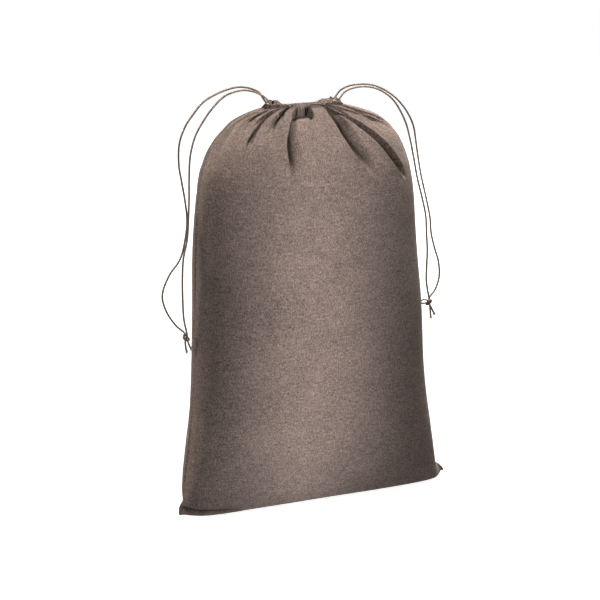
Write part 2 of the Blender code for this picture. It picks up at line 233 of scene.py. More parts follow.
def addStudio(s):
    half = s["floorSize"] / 2
    low = s["floorHeight"]
    corners = [(-half, -half, low), (half, -half, low), (half, half, low), (-half, half, low)]
    mesh = bpy.data.meshes.new("floor")
    mesh.from_pydata(corners, [], [(0, 1, 2, 3)])
    floor = bpy.data.objects.new("floor", mesh)
    floor.visible_diffuse = False         # no light thrown back up from it
    scene.collection.objects.link(floor)
    paper = Nodes("floor paper")
    mesh.materials.append(paper.finish(Base_Color=s["floorColour"], Roughness=s["floorRough"],
                                       Emission_Color=(1.0, 1.0, 1.0),
                                       Emission_Strength=s["floorGlow"]))
    # the surroundings look white and give little light
    sky = Nodes("white studio", bpy.data.worlds, "Background")
    white = (1.0, 1.0, 1.0)
    seen = sky.add("ShaderNodeBackground", {}, {"Color": white, "Strength": s["backdrop"]})
    scene.world = sky.finish(Color=white, Strength=s["air"])
    cameraRay = sky.add("ShaderNodeLightPath")
    choice = sky.add("ShaderNodeMixShader", {},
                     {0: cameraRay, 1: Tone(sky, sky.shader.outputs[0]), 2: seen})
    sky.put(sky.tree.nodes["World Output"].inputs["Surface"], choice)
    for name, (place, target, width, height, watts, opening, colour) in s["lamps"].items():
        data = bpy.data.lights.new(name, "AREA")
        data.shape = "RECTANGLE"
        data.size = width
        data.size_y = height
        data.energy = watts
        data.color = colour
        data.spread = math.radians(opening)
        lamp = bpy.data.objects.new(name, data)
        lamp.location = place
        lamp.visible_camera = False
        aim = np.array(target) - np.array(place)
        flat = math.hypot(aim[0], aim[1])
        lamp.rotation_euler = (math.atan2(flat, -aim[2]), 0.0, math.atan2(-aim[0], aim[1]))
        scene.collection.objects.link(lamp)


scene.view_settings.view_transform = "Standard"
addCamera(view)
addStudio(studio)
print("camera and studio done")


# finishes

def clothFinish(name, s):
    # yarns spun of light and dark fibres: each one's tone changes along it, and yarns cross over
    n = Nodes(name)
    place = n.add("ShaderNodeUVMap", {"uv_map": "weave"})
    x, y = (n.add("ShaderNodeSeparateXYZ", {}, {"Vector": place}, out=axis) for axis in (0, 1))
    layer = s["layers"]
    warp = n.noise(n.vector(x * s["yarns"], y * s["fleck"], layer["warp"]), 1.0, 1.0, s["grain"])
    weft = n.noise(n.vector(x * s["fleck"], y * s["yarns"], layer["weft"]), 1.0, 1.0, s["grain"])
    slubUp = n.noise(n.vector(x * s["slubYarns"], y * s["slub"], layer["slubUp"]), 1.0, 2.0, s["grain"])
    slubAcross = n.noise(n.vector(x * s["slub"], y * s["slubYarns"], layer["slubAcross"]),
                         1.0, 2.0, s["grain"])
    patch = n.noise(n.vector(x, y, layer["patch"]), s["patch"], 2.0, 0.5)
    # noise lies round 0.5, so each share counts from there
    tone = (warp - 0.5) * s["fleckUp"] + (weft - 0.5) * s["fleckAcross"]
    tone = tone + (slubUp - 0.5) * s["slubUpShare"] + (slubAcross - 0.5) * s["slubAcrossShare"]
    tone = tone + (patch - 0.5) * s["patchShare"] + 0.5
    colour = n.mix(n.clamp(tone, s["low"], s["high"]), s["dark"], s["light"])
    full = s["tick"] + s["tickSoft"]
    pale = n.clamp(slubUp, s["tick"], full) + n.clamp(slubAcross, s["tick"], full)
    colour = n.mix(pale * s["tickShare"], colour, s["pale"])
    # painted shade: a per-point attribute darkens the cloth's colour deep in folds, on the turned-in seams
    # and between the casing's gathers
    hollow = n.add("ShaderNodeAttribute", {"attribute_name": "hollow"}, out=2)
    colour = n.mix(hollow * s["paintedShadeShare"], colour, s["hollow"])
    rise = 2.0 * math.pi * s["pitch"]
    across = n.add("ShaderNodeMath", {"operation": "SINE"}, {0: x * rise})
    along = n.add("ShaderNodeMath", {"operation": "SINE"}, {0: y * rise})
    height = across * along * s["weaveRelief"] + warp + weft + (slubUp + slubAcross) * s["slubRelief"]
    bump = n.add("ShaderNodeBump", {}, {"Strength": s["relief"], "Distance": s["reliefDeep"],
                                        "Height": height})
    return n.finish(Base_Color=colour, Roughness=s["rough"] + patch * s["roughPatch"], Normal=bump,
                    Specular_IOR_Level=s["gloss"], Sheen_Weight=s["sheen"],
                    Sheen_Roughness=s["sheenRough"])


chambray = {
    "yarns": 1900.0, "fleck": 430.0,      # flecks for each metre across and along a yarn
    "slubYarns": 750.0, "slub": 120.0,    # and thicker places
    "fleckUp": 1.4, "fleckAcross": 0.8, "slubUpShare": 0.6, "slubAcrossShare": 0.4,
    "patch": 25.0, "patchShare": 0.25, "grain": 0.6,
    "layers": {"warp": 0.0, "weft": 7.3, "slubUp": 3.1, "slubAcross": 9.7, "patch": 0.9},
    "low": 0.18, "high": 0.82,
    "dark": (0.093, 0.065, 0.056), "light": (0.365, 0.28, 0.238), "pale": (0.6, 0.49, 0.43),
    "tick": 0.66, "tickSoft": 0.08, "tickShare": 0.22,       # the palest slubs
    "hollow": (0.012, 0.008, 0.007), "paintedShadeShare": 0.96,    # painted shade: near-black colour mixed in inside the folds, seams and casing gathers
    "pitch": 1100.0, "weaveRelief": 0.5, "slubRelief": 0.8,  # threads for each metre, and how they rise
    "relief": 0.3, "reliefDeep": 0.0003,
    "rough": 0.84, "roughPatch": 0.12, "gloss": 0.15, "sheen": 0.1, "sheenRough": 0.5,
}
frontCloth = clothFinish("front cotton", chambray)
backCloth = clothFinish("back cotton", chambray)


def cordFinish(name, dark, light, along, s):
    n = Nodes(name)
    place = n.add("ShaderNodeTexCoord", out=3)
    fibres = n.noise(place, along, 3.0, 0.6)
    hairs = n.noise(place, along * s["hairsFiner"], 2.0, 0.5)
    share = n.clamp(fibres * s["fibreShare"] + hairs * s["hairShare"], s["low"], s["high"])
    bump = n.add("ShaderNodeBump", {}, {"Strength": s["relief"], "Distance": s["reliefDeep"],
                                        "Height": hairs})
    return n.finish(Base_Color=n.mix(share, dark, light), Roughness=s["rough"] + fibres * s["roughFibres"],
                    Normal=bump, Specular_IOR_Level=s["gloss"], Sheen_Weight=s["sheen"])


spunYarn = {
    "hairsFiner": 5.0, "fibreShare": 0.6, "hairShare": 0.4, "low": 0.35, "high": 0.65,
    "relief": 0.3, "reliefDeep": 0.0002, "rough": 0.8, "roughFibres": 0.15, "gloss": 0.2, "sheen": 0.1,
}
# dark fibre, light fibre, fibres for each metre
cordCotton = cordFinish("cord cotton", (0.17, 0.13, 0.105), (0.52, 0.42, 0.35), 900.0, spunYarn)
frayCotton = cordFinish("frayed cotton", (0.5, 0.36, 0.2), (0.85, 0.68, 0.45), 1200.0, spunYarn)
print("finishes done")


# cords

cord = {
    "diameter": 2.0, "plies": 3, "turn": 7.0,     # mm of cord for one full twist
    "groove": 0.13, "sides": 18,
    "ring": 0.55, "fineRing": 0.5,                # mm between rings, and in knots and loop
    "knotRadius": 0.86, "knotGroove": 0.7, "loopRadius": 0.85,
    "lean": 0.62,                                 # mm from a knot's middle line to each strand
    # the runs in the casing: middle, half length, the straight part's start and end, step
    "runMiddle": -13.5, "runHalf": 35.5, "runStart": 0.8, "runEnd": 3.0, "runStep": 5.0,
    "runRound": 0.75, "runHeight": 395.0, "runRise": 7.0,
    "runs": {"left_cord_run": (1, 7.3), "right_cord_run": (-1, 5.1)},     # direction, mm from the middle
    "pathEvery": 4,
}
fray = {
    "ring": 0.4, "twisted": 0.62, "radius": (0.92, 1.05),    # the share still twisted, and how thick
    "fibres": 34, "turnShare": 0.381966, "rim": 0.85, "sunk": 0.6,
    "spread": (0.6, 1.5), "opening": 1.6, "reach": (0.7, 1.1), "sway": 0.2,
    "thick": (0.17, 0.07), "rings": 7, "sides": 5,
}


def smoothRoute(points, step):
    # an even path through the points, its pieces first cut fine
    cuts = 24
    points = np.asarray(points, float)
    ends = np.vstack([2 * points[0] - points[1], points, 2 * points[-1] - points[-2]])
    fine = []
    for before, start, end, after in zip(ends, ends[1:], ends[2:], ends[3:]):
        span = np.linalg.norm(end - start)
        leaving = (end - before) * (span / (np.linalg.norm(start - before) + span))
        arriving = (after - start) * (span / (np.linalg.norm(after - end) + span))
        for t in np.linspace(0.0, 1.0, cuts, endpoint=False):
            fine.append(hermite(t, start, leaving, end, arriving))
    fine = np.array(fine + [points[-1]])
    length = np.concatenate([[0.0], np.cumsum(np.linalg.norm(np.diff(fine, axis=0), axis=1))])
    even = np.linspace(0.0, length[-1], max(3, round(length[-1] / step) + 1))
    return np.stack([np.interp(even, length, fine[:, axis]) for axis in range(3)], axis=1)


def runningFrames(path):
    # directions along, across and square to a path, turning as little as they can
    along = unit(np.gradient(path, axis=0))
    across = np.zeros_like(path)
    guess = np.cross(along[0], (0.0, 0.0, 1.0))
    if np.linalg.norm(guess) < 0.1:
        guess = np.cross(along[0], (1.0, 0.0, 0.0))
    for i, way in enumerate(along):
        guess = guess - way * np.dot(guess, way)
        guess = guess / np.linalg.norm(guess)
        across[i] = guess
    return along, across, np.cross(along, across)


def tube(path, radius, sides, groove=0.0, plies=3, turn=7.0):
    # rings round a path in millimetres, lobed where plies twist together
    across, square = runningFrames(path)[1:]
    length = np.concatenate([[0.0], np.cumsum(np.linalg.norm(np.diff(path, axis=0), axis=1))])
    angle = np.linspace(0.0, 2 * math.pi, sides, endpoint=False)[None, :]
    radius = np.broadcast_to(np.asarray(radius, float), (len(path),))[:, None]
    lobes = np.abs(np.cos(plies / 2 * (angle - 2 * math.pi * length[:, None] / turn)))
    reach = radius * (1.0 - groove + groove * lobes**0.8)
    rings = (path[:, None, :] + across[:, None, :] * (reach * np.cos(angle))[..., None]
             + square[:, None, :] * (reach * np.sin(angle))[..., None])
    points = np.vstack([rings.reshape(-1, 3), path[:1], path[-1:]])
    faces = []
    for i in range(len(path) - 1):
        for j in range(sides):
            k = (j + 1) % sides
            faces.append((i * sides + j, i * sides + k, (i + 1) * sides + k, (i + 1) * sides + j))
    last = len(path) * sides
    for j in range(sides):
        k = (j + 1) % sides
        faces.append((last, k, j))
        faces.append((last + 1, last - sides + j, last - sides + k))
    return points, faces


def joined(parts):
    points, faces = [], []
    for more, shape in parts:
        start = sum(len(p) for p in points)
        points.append(more)
        faces += [tuple(i + start for i in face) for face in shape]
    return np.vstack(points), faces


# route points in mm, from inside the casing to the knot
strands = {
    "left_front": (
        (-43.5, -7.4, 400.2), (-46.5, -7.4, 401), (-48.8, -7.4, 402.8), (-51, -7.4, 405.4),
        (-55.6, -7, 410.4), (-64.6, -6, 415.2), (-74.4, -5.4, 417.3), (-84.4, -5, 416.2),
        (-95, -4.6, 412), (-106.2, -4, 401.6), (-115.4, -3.8, 389.6), (-123.2, -3.6, 376.2),
        (-128.2, -3.4, 358), (-129.6, -3.2, 338), (-130, -3, 318), (-131, -2.8, 298),
        (-132.6, -2.6, 278), (-136.6, -2.4, 260), (-138, -2.2, 240), (-138, -2, 218),
        (-137.2, -1.8, 200), (-134.5, -1.4, 186.2)),
    "left_back": (
        (-43.5, 7.4, 400.2), (-46.5, 7.4, 401), (-48.6, 7.4, 403), (-50.6, 7.4, 405.8),
        (-55.2, 7, 412.4), (-65.4, 6, 417.2), (-76.1, 5.4, 418.9), (-87, 5, 417.4),
        (-100, 4.6, 413.2), (-112.4, 4.2, 406.6), (-121.6, 4, 396.6), (-130, 3.8, 385.4),
        (-136.2, 3.6, 370), (-137.4, 3.4, 350.6), (-135, 3.2, 333), (-132.2, 3, 315),
        (-130.6, 2.8, 296), (-132.8, 2.6, 278), (-138.2, 2.4, 259), (-150, 2.2, 243),
        (-157, 2, 225), (-153.6, 1.8, 209), (-144.6, 1.6, 194), (-136.6, 1.4, 186.2)),
    "right_front": (
        (16.5, -5, 400.2), (19.5, -5, 401), (21.6, -5, 402.8), (23.4, -5, 405),
        (28, -5, 410), (36.6, -4.4, 413), (47.6, -4, 413.9), (58.8, -3.7, 412.1),
        (69.9, -3.4, 407.2), (80.2, -3.2, 399), (88.4, -3, 387.4), (95, -2.8, 374),
        (99.9, -2.6, 357.6), (104, -2.4, 340), (108.6, -2.2, 319), (115, -2, 296.6),
        (119, -2, 279), (120.2, -1.9, 262), (121.6, -1.8, 245), (121.4, -1.7, 228),
        (121.4, -1.6, 212), (124.9, -1.3, 193.7)),
    "right_back": (
        (16.5, 5, 400.2), (19.5, 5, 401), (21.4, 5, 402.9), (23.2, 5, 405.2),
        (27.4, 5, 410), (35.4, 4.4, 413.8), (44.8, 4, 415), (54.4, 3.7, 414.8),
        (64.4, 3.4, 412.6), (76.2, 3.2, 406.8), (87.4, 3, 398.4), (98.1, 2.8, 385.6),
        (105.2, 2.6, 371.6), (108.6, 2.4, 354), (111.6, 2.2, 336.4), (115.4, 2, 318),
        (121.2, 2, 296), (125.6, 1.9, 277), (127.4, 1.8, 260), (131.4, 1.7, 245),
        (136.4, 1.6, 229), (137.4, 1.5, 214), (133.4, 1.4, 201), (127.3, 1.3, 193.8)),
}
knots = {
    "left": {"centre": (-134.9, 0.0, 181.2), "size": (1.3, 0.2, 1.45), "turn": 200.0,
             "tails": {
                 "left_tail_front": ((-133.4, -1.5, 176.2), (-131.8, -2.4, 171.8), (-129.9, -3.4, 167.6)),
                 "left_tail_back": ((-135.5, 1.4, 176.1), (-134.7, 1.6, 169.6), (-133.4, 1.4, 163.2))}},
    "right": {"centre": (125.9, 0.0, 188.8), "size": (1.25, 0.2, 1.4), "turn": 20.0,
              "tails": {
                  "right_tail_front": ((126.1, -1.5, 184), (126.8, -1.9, 177), (127.4, -2.1, 170.4)),
                  "right_tail_back": ((128, 1.4, 184.2), (130.9, 1.8, 178.6), (134, 2, 172.8))}},
}
sideLoop = ((123.4, -1.3, 190.9), (121.9, -1.6, 191.3), (119.2, -2.2, 192.4), (116.4, -2.6, 192),
            (115.2, -2.2, 190.2), (116.6, -1.6, 188.6), (119.2, -0.9, 188), (121.8, -0.4, 188),
            (123.6, -0.2, 188.4))


def overhand(s, start, end, lean, ring):
    # one strand's way through an overhand knot, from above it to below it; a polynomial
    # trefoil, its size and turn set for each knot
    t = np.array([-1.85, -1.65, -1.4, -1.1, -0.8, -0.4, 0.0, 0.4, 0.8, 1.1, 1.4, 1.65, 1.85])
    wide, deep, tall = s["size"]
    x = (t**4 - 4 * t**2 + 2.0) * wide
    y = (t**5 - 10 * t) * deep
    z = -(t**3 - 3 * t) * tall
    turn = math.radians(s["turn"])
    centre = np.array(s["centre"])
    way = centre + np.stack([x * math.cos(turn) - y * math.sin(turn),
                             x * math.sin(turn) + y * math.cos(turn), z], axis=1)
    route = smoothRoute(way, ring)
    across = runningFrames(route)[1]
    route = route + across * lean
    return smoothRoute(np.vstack([[start], route[2:-2:3], [end]]), ring)


def frayedTail(route, s, f, seed):
    # a short tail whose end opens into loose fibres
    path = smoothRoute(route, f["ring"])
    cut = int(len(path) * f["twisted"])
    twisted = np.linspace(*f["radius"], cut + 1)
    parts = [tube(path[:cut + 1], twisted, s["sides"], s["groove"], s["plies"], s["turn"])]
    dice = np.random.default_rng(seed)
    along, across, square = runningFrames(path)
    reach = np.linalg.norm(path[-1] - path[cut])
    for i in range(f["fibres"]):
        angle = 2 * math.pi * i * f["turnShare"]
        rim = f["rim"] * math.sqrt((i + 0.5) / f["fibres"])
        side = across[cut] * math.cos(angle) + square[cut] * math.sin(angle)
        spread = dice.uniform(*f["spread"]) * rim
        length = reach * dice.uniform(*f["reach"])
        fibre = []
        for t in np.linspace(0.0, 1.0, f["rings"]):
            fibre.append(path[cut] + side * (rim + spread * t**f["opening"])
                         + along[cut] * (length * t - f["sunk"])
                         + across[cut] * dice.uniform(-f["sway"], f["sway"]) * t)
        parts.append(tube(np.array(fibre), np.linspace(*f["thick"], f["rings"]), f["sides"]))
    return joined(parts), len(parts[0][1])


def runRoute(s, direction, lane):
    # one cord through the front casing, round the far mouth and back, in mm
    turn = np.linspace(-math.pi / 2, math.pi / 2, 9)
    half, end = s["runHalf"], s["runHalf"] - s["runEnd"]
    along = np.arange(-half + s["runStart"], end, s["runStep"])
    x = np.concatenate([along, end + s["runRound"] * lane * np.cos(turn), along[::-1]])
    y = np.concatenate([np.full(len(along), -lane), lane * np.sin(turn), np.full(len(along), lane)])
    z = s["runHeight"] + s["runRise"] * np.minimum(1.0, np.abs(x) / half) ** 4
    return np.stack([s["runMiddle"] + direction * x, y, z], axis=1)


def makeCords(s, f):
    twist = s["plies"], s["turn"]
    knotPieces = {}
    for side, knot in knots.items():
        pieces = []
        ends = [strands[f"{side}_{face}"][-1] for face in ("front", "back")]
        parts = []
        for end, (tailName, tail), lean in zip(ends, knot["tails"].items(), (-s["lean"], s["lean"])):
            way = overhand(knot, end, tail[0], lean, s["fineRing"])
            parts.append(tube(way, s["knotRadius"], s["sides"], s["groove"] * s["knotGroove"], *twist))
            (points, faces), solid = frayedTail(tail, s, f, len(tailName) * 7)
            piece = makePiece(tailName + "_fray", points * mm, faces, (cordCotton, frayCotton))
            for i, polygon in enumerate(piece.data.polygons):
                polygon.material_index = 0 if i < solid else 1
            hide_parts(tailName)
            pieces.append(piece)
        points, faces = joined(parts)
        piece = makePiece(side + "_knot_wraps", points * mm, faces, (cordCotton,))
        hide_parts(side + "_knot")
        pieces.append(piece)
        knotPieces[side] = pieces
    route = smoothRoute(sideLoop, s["fineRing"])
    points, faces = tube(route, s["loopRadius"], s["sides"], s["groove"], *twist)
    piece = makePiece("right_knot_side_loop", points * mm, faces, (cordCotton,))
    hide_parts("right_knot_loop")
    knotPieces["right"].append(piece)
    for name, way in strands.items():
        side, face = name.split("_")
        route = smoothRoute(way, s["ring"])
        points, faces = tube(route, s["diameter"] / 2, s["sides"], s["groove"], *twist)
        piece = makePiece(name + "_cord", points * mm, faces, (cordCotton,))
        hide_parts(f"{side}_strand_{face}")
        length = float(np.linalg.norm(np.diff(route, axis=0), axis=1).sum()) * mm
        print(name, "cord is", round(length, 4), "m long")
    for node, (direction, lane) in s["runs"].items():
        route = smoothRoute(runRoute(s, direction, lane), s["ring"])
        points, faces = tube(route, s["diameter"] / 2, s["sides"], s["groove"], *twist)
        piece = makePiece(node + "_cord", points * mm, faces, (cordCotton,))
        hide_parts(node)


makeCords(cord, fray)
print("cords done")


# cloth panels

bag = {
    "seamGap": 0.1, "columns": 370, "fewest": 10, "crowding": 0.6, "arcSteps": 1441,
    "flatHalf": 160.0,                    # half the flat width, for the weave
    # rows: mm below the stitch line where each spacing ends, and the spacings
    "neckEnd": 20, "foldsEnd": 84, "bottomStart": 370, "neckStep": 0.65, "foldStep": 1.0,
    "grow": 1.12, "widest": 4.6, "shrink": 0.86, "bottomStep": 1.3,
    # the bottom corners, where the seam stands out as a flat ear; lifted and swung forward in mm
    "earStart": 0.88, "earWide": 16.0, "earFlat": 0.75, "earFull": 3.0, "earTop": 20.0,
    "earLift": {"left": 0.0, "right": 2.4}, "earForward": {"left": 7.0, "right": 0.0},
    # cloth turned in behind the side seams: mm in from the seam, mm bent; and the painted shade on it
    "turnedIn": ((0.6, 0.0), (2.0, 0.5), (5.0, -0.3), (9.0, 0.4)), "turnedInPaintedShade": 0.15,
    # a crease above the flat hem, kept off the seam, with painted shade along it
    "hemCrease": {"end": -0.52, "fade": 0.2, "height": 28.0, "slope": 9.0, "wide": 2.0, "deep": 2.6,
                  "seam": 0.05, "swell": 0.4, "swellLow": 6.0, "swellWide": 4.0,
                  "dark": 0.8, "paintedShadeUp": 0.6},
    "neckDepth": 6.5, "casingTall": 6.0, "casingDeep": 4.0, "mouthTall": 3.7, "mouthNarrow": 0.25,
    "casingHeight": {1: 395.0, -1: 393.8}, "mouthRise": 7.0, "mouthSlant": 4.0,
    "beads": 25, "beadDepth": 1.3, "beadEven": 0.85, "beadLow": 0.35, "beadMiddle": 0.6,
    "beadLean": 0.7, "wobble": 0.35, "wobbles": 9, "wobbleShift": 1.2, "beadPaintedShade": 0.7, "recessFullPaintedShade": 1.2,
    "grooveDeep": 1.5, "grooveWide": 1.7, "pucker": 0.35, "puckerStep": 11.0, "puckerReach": 9.0,
    # uneven cloth: mm deep, hills across, mm for each hill down; and how far down it goes
    "creases": {"deep": 0.35, "across": 13, "tall": 26, "reach": 34, "start": 6},
    "hollows": {"deep": 0.9, "across": 2.2, "tall": 70, "start": 60},
    # ridge and lip widths in mm; where the painted shade in a fold begins and how fast it fades
    "ridgeWide": 5.0, "lipWide": 1.6, "shadeStart": 0.3, "shadePower": 1.5,
}
# halfDepth height halfWidth centreX squareness sideRise ear flatten crestOut crestUp, in mm
sections = (
    (0, 0, 136, 0, 5, 0, 11, 0, 0, 0),
    (12, 0, 136, 0, 5, 0, 11, 0, 0, 0),
    (18.5, 0, 136, 0, 4.6, 0, 11, 0, 0, 0),
    (22.5, 2.2, 136.6, -0.5, 4.2, 0, 10.4, 0, 0, 0),
    (25.5, 8, 136.9, -2, 3.8, 0, 7.4, 0, 0, 0),
    (28.5, 14, 136.9, -3.4, 3.6, 0, 2.2, 0, 0, 0),
    (31.5, 21, 136.4, -4.2, 3.4, 0, 0.4, 0, 0, 0),
    (36, 34, 134.8, -4.8, 3.2, 0, 0, 0, 0, 0),
    (43, 62, 130.4, -5.4, 3, 0, 0, 0, 0, 0),
    (48, 100, 125, -5.8, 2.8, 0, 0, 0, 0, 0),
    (51, 145, 120.8, -6.8, 2.8, 0, 0, 0, 0, 0),
    (52, 200, 117.6, -7.9, 2.7, 0, 0, 0, 0, 0),
    (51.5, 250, 114.5, -9.2, 2.7, 0, 0, 0, 0, 0),
    (50, 288, 112.2, -9.6, 2.6, 0, 0, 0, 0, 0),
    (48, 317, 109.4, -9.8, 2.6, 0, 0, 0, 0, 0),
    (45.2, 338, 105.8, -10.4, 2.6, 0, 0, 0, 0, 0),
    (41.5, 352, 101.4, -10.4, 2.5, 0, 0, 0, 0, 0),
    (37, 363, 96, -10.3, 2.5, 0.2, 0, 0, 0, 0),
    (32, 371, 90, -10.2, 2.5, 0.6, 0, 0, 0, 0),
    (26.5, 377.8, 82.5, -10.6, 2.4, 1.6, 0, 0, 0.5, 1.2),
    (21, 382.6, 73.5, -11.4, 2.4, 3.2, 0, 0, 1.4, 3.6),
    (15.5, 386.2, 61, -12.6, 2.3, 5, 0, 0.1, 3.2, 6.2),
    (10.5, 388.4, 46, -13.4, 2.2, 7, 0, 0.5, 5.4, 8.6),
    (6.5, 389, 35.5, -13.5, 2.2, 8, 0, 1, 6.6, 10.8),
)
# angle crestOut crestUp round the casing, from the stitch line outside to the hem's edge inside
casingRows = ((-55, 4.4, 11), (-12, 2.4, 8.2), (32, 0.6, 2.2), (76, 0, 0.1), (120, 0, 0),
              (172, 0, 0), (230, 0, 0))

# folds run down from the neck. down at depth ridge steep floor gentle:
# mm below the stitch line, share of the half width, and the rest in mm across the fold
# side: which way it falls. columns and rim: the weight of columns past its edge and far rim
# under, far and lip: mm the cloth tucks under the edge, leans away, and rises past the far rim
# shade, fade and dark: where the painted shade in the fold's hollow ends, over how many mm it fades, and
# the depth at which it is full
plainFold = {
    "columns": 1.0, "under": 0.0, "far": 0.0, "lip": 0.0, "shade": 0.5, "fade": 2.5, "dark": 6.0,
}
frontFolds = {
    "outer": {"side": -1, "rows": (
        (0, -0.80, 0.5, 0, 1, 0.3, 2), (4, -0.77, 2, 0.1, 1.6, 0.5, 3),
        (9, -0.745, 3, 0.2, 2, 0.8, 4), (14, -0.79, 2, 0.2, 3, 1, 5),
        (22, -0.82, 0, 0, 4, 1, 6))},
    "slit": {"side": 1, "under": 0.4, "rows": (
        (0, -0.69, 0.6, 0.2, 0.8, 0.2, 1.2), (7, -0.64, 1.6, 0.4, 1, 0.3, 1.6),
        (15, -0.655, 2.2, 0.7, 1.1, 0.4, 2.4), (23, -0.675, 3.8, 0.9, 1.2, 0.8, 3.4),
        (29, -0.678, 4.4, 0.9, 1.2, 1, 4), (33, -0.668, 2.4, 0.9, 1.3, 0.6, 4),
        (37, -0.66, 0.4, 0.8, 1.5, 0.5, 3), (46, -0.645, 0, 0.3, 2, 0.5, 3),
        (60, -0.66, 0, 0, 2, 0.5, 3))},
    "hollow": {"side": -1, "under": 0.3, "rows": (
        (0, -0.50, 1, 0.2, 0.8, 0.6, 1.5), (5, -0.45, 2.6, 0.3, 1, 0.8, 2.5),
        (10, -0.40, 3.4, 0.5, 1.4, 0.8, 4), (13, -0.415, 1.6, 0.5, 2, 0.6, 6),
        (19, -0.47, 0.6, 0.4, 3, 0.5, 8), (28, -0.50, 0, 0, 3, 0.5, 8))},
    "middle": {"side": 1, "columns": 1.3, "under": 0.5, "shade": 0.8, "fade": 7.0, "dark": 5.0,
               "rows": (
        (0, -0.31, 1, 0.1, 0.8, 0.6, 1.5), (6, -0.265, 2.4, 0.3, 1, 0.8, 3),
        (14, -0.285, 2.8, 0.5, 1.1, 0.6, 4), (21, -0.297, 3.4, 0.7, 1.2, 1.2, 6),
        (30, -0.307, 5, 1.1, 1.3, 2.8, 8), (38, -0.302, 6.2, 1.3, 1.4, 4, 9),
        (46, -0.29, 6.2, 1.3, 1.6, 4.2, 9), (53, -0.278, 4.2, 1.3, 2, 3.4, 9),
        (61, -0.27, 1.8, 1.1, 2.6, 1.8, 9), (76, -0.255, 0, 0, 3, 1, 9))},
    # no fold of its own, a line that keeps the columns straight
    "edge": {"side": -1, "rows": (
        (0, 0.02, 0, 0, 1, 0.5, 2), (16, 0, 0, 0, 1, 0.5, 2))},
    "broad": {"side": 1, "columns": 1.6, "under": 0.9, "shade": 1.4, "fade": 8.0, "dark": 7.5,
              "rows": (
        (0, 0.345, 1, 0.2, 0.8, 0.6, 2), (5, 0.315, 2.4, 0.4, 1, 0.8, 3),
        (12, 0.245, 4.6, 0.7, 1.2, 1.4, 7), (19, 0.237, 7, 0.9, 1.3, 3, 11),
        (26, 0.235, 8, 1, 1.3, 3.6, 13), (38, 0.252, 7.6, 1.1, 1.4, 4.2, 14),
        (47, 0.275, 6.4, 1.2, 1.5, 4.4, 13), (55, 0.308, 4.8, 1.2, 1.7, 4, 11),
        (62, 0.343, 2.6, 0.8, 2, 2.6, 9), (67, 0.366, 0.9, 0.4, 2.4, 1.4, 8),
        (75, 0.40, 0, 0, 2.5, 1, 8))},
    "deep": {"side": 1, "columns": 2.4, "rim": 1.2, "under": 0.8, "far": 1.0, "lip": 0.3, "shade": 1.0,
             "fade": 6.5, "dark": 7.0, "rows": (
        (0, 0.385, 1.5, 0.1, 0.8, 0.4, 1.5), (8, 0.365, 3.5, 0.2, 1, 0.8, 2),
        (14, 0.415, 4.6, 0.4, 1.1, 0.6, 5), (22, 0.47, 7, 0.6, 1.2, 0.8, 7),
        (33, 0.51, 9.6, 0.9, 1.3, 1.4, 8.5), (42, 0.542, 11.5, 1.1, 1.4, 2.6, 8.5),
        (51, 0.573, 11.5, 1.1, 1.5, 4, 7.5), (60, 0.605, 9.5, 1, 1.7, 4.4, 6.5),
        (67, 0.635, 6.5, 0.9, 2, 3.4, 5.5), (73, 0.662, 2.6, 0.7, 2.4, 1.6, 5),
        (80, 0.69, 0, 0, 2.5, 1, 5))},
    "third": {"side": 1, "under": 0.2, "rows": (
        (0, 0.48, 0.8, 0.1, 1, 0.4, 2), (5, 0.50, 1.6, 0.2, 1.4, 0.6, 3),
        (12, 0.59, 2.2, 0.3, 1.8, 0.8, 4), (18, 0.675, 2, 0.3, 2, 0.8, 5),
        (24, 0.75, 1.2, 0.2, 2.4, 0.6, 6), (34, 0.82, 0, 0, 3, 0.6, 6))},
    "last": {"side": 1, "under": 0.3, "rows": (
        (0, 0.69, 1, 0.1, 0.8, 0.5, 1.5), (6, 0.70, 3, 0.4, 1, 1, 2),
        (12, 0.725, 3.4, 0.5, 1.2, 1.4, 3), (18, 0.79, 3, 0.5, 1.4, 1.4, 4),
        (24, 0.845, 1.6, 0.4, 2, 1, 5), (34, 0.885, 0, 0, 3, 0.6, 5))},
}
